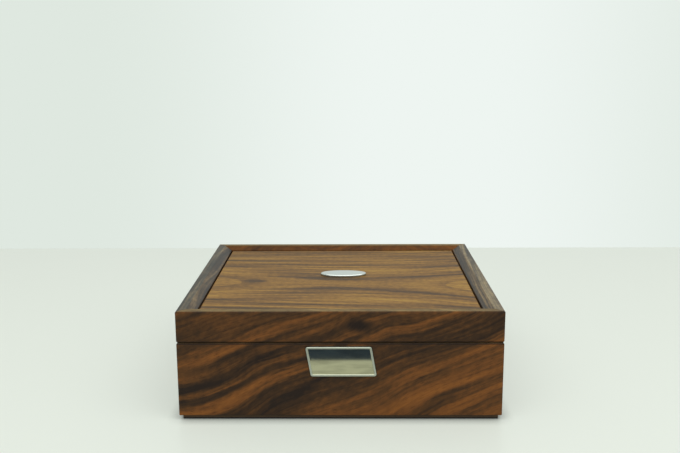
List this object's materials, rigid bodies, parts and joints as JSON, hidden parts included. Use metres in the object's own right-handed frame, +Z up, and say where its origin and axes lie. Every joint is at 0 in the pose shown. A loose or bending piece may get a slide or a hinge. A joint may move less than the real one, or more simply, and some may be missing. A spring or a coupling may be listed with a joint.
{
  "type": "knife display case",
  "caption": "Walnut display case for folding knives: hinged framed lid, skewed metal plate on the front, velvet-lined bays inside, felt base.",
  "frame": {"origin": "centre of the box's footprint on the surface that it stands on, midway between its outer side, front and back faces", "axes": "+X to the right along the front, -Y towards the viewer out of the front, +Z up"},
  "size_m": [0.25, 0.2371, 0.0876],
  "materials": {
    "walnut": "oiled satin",
    "walnut_panel": "oiled satin",
    "stained_board": "dark stain, matt",
    "plywood": "raw",
    "felt": "pressed felt",
    "velvet": "short pile",
    "satin_steel": "satin",
    "polished_steel": "polished",
    "hinge_steel": "satin",
    "nickel": "plated"
  },
  "bodies": {
    "box": {"base_back_board": "walnut", "base_felt": "felt", "base_front_board": "walnut", "base_left_board": "walnut", "base_magnet_left": "nickel", "base_magnet_right": "nickel", "base_right_board": "walnut", "bottom_board": "stained_board", "cross_divider_1": "velvet", "cross_divider_2": "velvet", "cross_divider_3": "velvet", "floor_bearer_left": "plywood", "floor_bearer_right": "plywood", "front_plate": "satin_steel", "hinge_left_base_leaf": "hinge_steel", "hinge_left_base_screw_a": "hinge_steel", "hinge_left_base_screw_b": "hinge_steel", "hinge_left_pin": "hinge_steel", "hinge_right_base_leaf": "hinge_steel", "hinge_right_base_screw_a": "hinge_steel", "hinge_right_base_screw_b": "hinge_steel", "hinge_right_pin": "hinge_steel", "insert_floor": "plywood", "knife_cushion_1_1": "velvet", "knife_cushion_1_2": "velvet", "knife_cushion_2_1": "velvet", "knife_cushion_2_2": "velvet", "knife_cushion_3_1": "velvet", "knife_cushion_3_2": "velvet", "knife_cushion_4_1": "velvet", "knife_cushion_4_2": "velvet", "liner_back": "velvet", "liner_front": "velvet", "liner_left": "velvet", "liner_right": "velvet", "long_divider_1": "velvet"},
    "lid": {"hinge_left_lid_leaf": "hinge_steel", "hinge_left_lid_screw_a": "hinge_steel", "hinge_left_lid_screw_b": "hinge_steel", "hinge_right_lid_leaf": "hinge_steel", "hinge_right_lid_screw_a": "hinge_steel", "hinge_right_lid_screw_b": "hinge_steel", "lid_back_rail": "walnut", "lid_front_rail": "walnut", "lid_left_rail": "walnut", "lid_lining": "velvet", "lid_magnet_left": "nickel", "lid_magnet_right": "nickel", "lid_panel": "walnut_panel", "lid_plaque": "polished_steel", "lid_right_rail": "walnut", "plaque_stud_left": "polished_steel", "plaque_stud_right": "polished_steel"}
  },
  "joints": [
    {"name": "lid_hinge", "type": "hinge", "parent": "box", "child": "lid", "pos_m": [0, 0.1179, 0.06245], "axis": [-1, 0, 0], "range_deg": [0, 95]}
  ]
}
